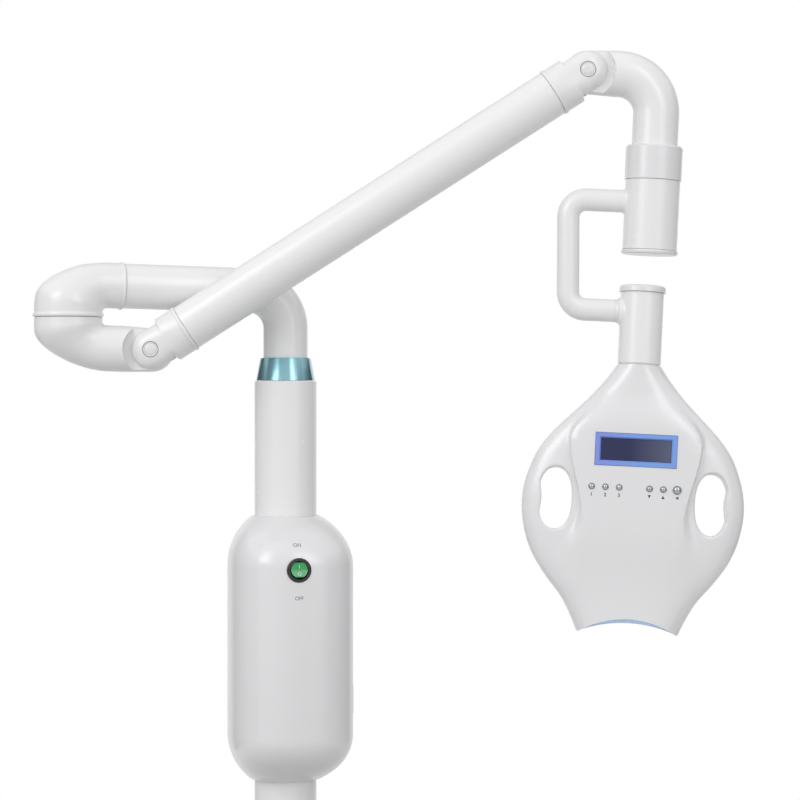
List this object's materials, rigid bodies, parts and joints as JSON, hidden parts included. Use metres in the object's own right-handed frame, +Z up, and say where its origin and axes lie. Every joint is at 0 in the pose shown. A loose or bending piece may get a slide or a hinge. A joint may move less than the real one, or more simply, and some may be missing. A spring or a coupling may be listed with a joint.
{
  "type": "teeth whitening lamp",
  "caption": "White teeth whitening lamp on a castered pole: swing arm, folding elbow, tilting main arm, gooseneck and C-handle carry a flat head with display, keys and finger holes.",
  "frame": {"origin": "where the pole's axis meets the floor", "axes": "+Z up along the pole, -Y to the front, where the display faces, +X to the side that the lamp head hangs on"},
  "size_m": [0.645, 0.5474, 1.3594],
  "materials": {
    "white_gloss_plastic": "smooth white ABS, glossy",
    "white_lacquered_tube": "white gloss lacquer on steel tube",
    "white_lacquered_casting": "white gloss lacquer on die-cast aluminium",
    "white_lacquered_iron": "white gloss lacquer on a heavy cast base",
    "chrome": "polished chrome",
    "chromed_plastic": "chrome-plated plastic",
    "teal_anodised_metal": "polished, teal anodised",
    "steel": "bright steel",
    "aluminium": "bare aluminium",
    "black_plastic": "black, satin",
    "grey_tyre": "grey rubber tread",
    "green_translucent_plastic": "green, translucent",
    "nylon_bush": "natural nylon",
    "periwinkle_frame": "blue-violet, glossy",
    "navy_display": "dark glass",
    "circuit_board": "green circuit board",
    "led_board": "white metal-core board with emitters",
    "blue_lens": "clear light guide, faintly blue"
  },
  "bodies": {
    "stand": {"star_base": "white_lacquered_iron", "base_collar": "chrome", "stand_pole": "white_lacquered_tube", "pole_top_ring": "teal_anodised_metal", "pole_swivel_bush": "nylon_bush", "box_front_cover": "white_gloss_plastic", "box_rear_cover": "white_gloss_plastic", "box_clamp": "aluminium", "power_supply": "steel", "switch_bezel": "black_plastic", "mains_inlet": "black_plastic"},
    "rocker": {"switch_rocker": "green_translucent_plastic"},
    "swing_arm": {"swing_arm_tube": "white_lacquered_tube", "upper_elbow": "white_lacquered_casting", "elbow_spindle": "steel"},
    "elbow": {"lower_elbow": "white_lacquered_casting"},
    "main_arm": {"arm_lower_knuckle": "white_lacquered_casting", "main_arm_tube": "white_lacquered_tube", "arm_upper_knuckle": "white_lacquered_casting", "lower_hinge_bolt": "steel", "lower_hinge_cap": "white_gloss_plastic", "upper_hinge_bolt": "steel", "upper_hinge_cap": "white_gloss_plastic"},
    "gooseneck_arm": {"gooseneck": "white_lacquered_tube", "swivel_collar": "white_gloss_plastic"},
    "handle": {"swivel_spindle": "steel", "drop_tube": "white_lacquered_tube", "drop_tube_cap": "white_gloss_plastic", "handle_tube": "white_lacquered_tube", "tilt_collar": "white_gloss_plastic", "tilt_pin": "steel"},
    "head": {"neck_tube": "white_lacquered_tube", "neck_cap": "white_gloss_plastic", "head_front_shell": "white_gloss_plastic", "head_rear_shell": "white_gloss_plastic", "lcd_frame": "periwinkle_frame", "lcd_panel": "navy_display", "control_board": "circuit_board", "led_module": "led_board", "heat_sink": "aluminium", "fan_frame": "black_plastic", "mouth_lens": "blue_lens"},
    "fan": {"fan_rotor": "black_plastic"},
    "button_left_3_key": {"button_left_3": "chromed_plastic"},
    "button_left_2_key": {"button_left_2": "chromed_plastic"},
    "button_left_1_key": {"button_left_1": "chromed_plastic"},
    "button_right_1_key": {"button_right_1": "chromed_plastic"},
    "button_right_2_key": {"button_right_2": "chromed_plastic"},
    "button_start_key": {"button_start": "chromed_plastic"},
    "caster_1": {"caster_fork_1": "black_plastic"},
    "wheel_1": {"caster_wheel_1": "grey_tyre"},
    "caster_2": {"caster_fork_2": "black_plastic"},
    "wheel_2": {"caster_wheel_2": "grey_tyre"},
    "caster_3": {"caster_fork_3": "black_plastic"},
    "wheel_3": {"caster_wheel_3": "grey_tyre"},
    "caster_4": {"caster_fork_4": "black_plastic"},
    "wheel_4": {"caster_wheel_4": "grey_tyre"},
    "caster_5": {"caster_fork_5": "black_plastic"},
    "wheel_5": {"caster_wheel_5": "grey_tyre"}
  },
  "joints": [
    {"name": "swing_arm_turn", "type": "hinge", "parent": "stand", "child": "swing_arm", "pos_m": [0, 0, 1.0684], "axis": [0, 0, 1], "range_deg": [-150, 150]},
    {"name": "elbow_turn", "type": "hinge", "parent": "swing_arm", "child": "elbow", "pos_m": [-0.18935, -0.05789, 1.1243], "axis": [0, 0, 1], "range_deg": [-150, 0]},
    {"name": "main_arm_lift", "type": "hinge", "parent": "elbow", "child": "main_arm", "pos_m": [-0.1152, -0.05789, 1.0955], "axis": [0, -1, 0], "range_deg": [-36, 3]},
    {"name": "gooseneck_tilt", "type": "hinge", "parent": "main_arm", "child": "gooseneck_arm", "pos_m": [0.26858, -0.05789, 1.34122], "axis": [0, -1, 0], "range_deg": [-20, 50]},
    {"name": "head_swivel", "type": "hinge", "parent": "gooseneck_arm", "child": "handle", "pos_m": [0.32695, -0.05789, 1.24495], "axis": [0.0489, 0, 0.9988], "range_deg": [-165, 165]},
    {"name": "head_tilt", "type": "hinge", "parent": "handle", "child": "head", "pos_m": [0.31696, -0.05767, 1.1286], "axis": [0.9974, -0.0523, -0.0488], "range_deg": [-60, 60]},
    {"name": "rocker_press", "type": "hinge", "parent": "stand", "child": "rocker", "pos_m": [0.01449, -0.07158, 0.9016], "axis": [0.9613, 0.2756, 0], "range_deg": [0, 18]},
    {"name": "fan_spin", "type": "hinge", "parent": "head", "child": "fan", "pos_m": [0.3055, -0.06929, 0.9068], "axis": [0.0515, 0.0523, 0.9973], "continuous": true},
    {"name": "button_left_3_press", "type": "slide", "parent": "head", "child": "button_left_3_key", "axis": [0.0497, 0.9973, -0.0548], "range_m": [0, 0.0008], "stiffness_N_per_m": 250},
    {"name": "button_left_2_press", "type": "slide", "parent": "head", "child": "button_left_2_key", "axis": [0.0497, 0.9973, -0.0548], "range_m": [0, 0.0008], "stiffness_N_per_m": 250},
    {"name": "button_left_1_press", "type": "slide", "parent": "head", "child": "button_left_1_key", "axis": [0.0497, 0.9973, -0.0548], "range_m": [0, 0.0008], "stiffness_N_per_m": 250},
    {"name": "button_right_1_press", "type": "slide", "parent": "head", "child": "button_right_1_key", "axis": [0.0497, 0.9973, -0.0548], "range_m": [0, 0.0008], "stiffness_N_per_m": 250},
    {"name": "button_right_2_press", "type": "slide", "parent": "head", "child": "button_right_2_key", "axis": [0.0497, 0.9973, -0.0548], "range_m": [0, 0.0008], "stiffness_N_per_m": 250},
    {"name": "button_start_press", "type": "slide", "parent": "head", "child": "button_start_key", "axis": [0.0497, 0.9973, -0.0548], "range_m": [0, 0.0008], "stiffness_N_per_m": 250},
    {"name": "caster_swivel_1", "type": "hinge", "parent": "stand", "child": "caster_1", "pos_m": [0.27, 0, 0], "axis": [0, 0, 1], "continuous": true},
    {"name": "wheel_roll_1", "type": "hinge", "parent": "caster_1", "child": "wheel_1", "pos_m": [0.252, 0, 0.025], "axis": [0, 1, 0], "continuous": true},
    {"name": "caster_swivel_2", "type": "hinge", "parent": "stand", "child": "caster_2", "pos_m": [0.08343, 0.25678, 0], "axis": [0, 0, 1], "continuous": true},
    {"name": "wheel_roll_2", "type": "hinge", "parent": "caster_2", "child": "wheel_2", "pos_m": [0.07787, 0.23967, 0.025], "axis": [-0.9511, 0.309, 0], "continuous": true},
    {"name": "caster_swivel_3", "type": "hinge", "parent": "stand", "child": "caster_3", "pos_m": [-0.21843, 0.1587, 0], "axis": [0, 0, 1], "continuous": true},
    {"name": "wheel_roll_3", "type": "hinge", "parent": "caster_3", "child": "wheel_3", "pos_m": [-0.20387, 0.14812, 0.025], "axis": [-0.5878, -0.809, 0], "continuous": true},
    {"name": "caster_swivel_4", "type": "hinge", "parent": "stand", "child": "caster_4", "pos_m": [-0.21843, -0.1587, 0], "axis": [0, 0, 1], "continuous": true},
    {"name": "wheel_roll_4", "type": "hinge", "parent": "caster_4", "child": "wheel_4", "pos_m": [-0.20387, -0.14812, 0.025], "axis": [0.5878, -0.809, 0], "continuous": true},
    {"name": "caster_swivel_5", "type": "hinge", "parent": "stand", "child": "caster_5", "pos_m": [0.08343, -0.25678, 0], "axis": [0, 0, 1], "continuous": true},
    {"name": "wheel_roll_5", "type": "hinge", "parent": "caster_5", "child": "wheel_5", "pos_m": [0.07787, -0.23967, 0.025], "axis": [0.9511, 0.309, 0], "continuous": true}
  ]
}
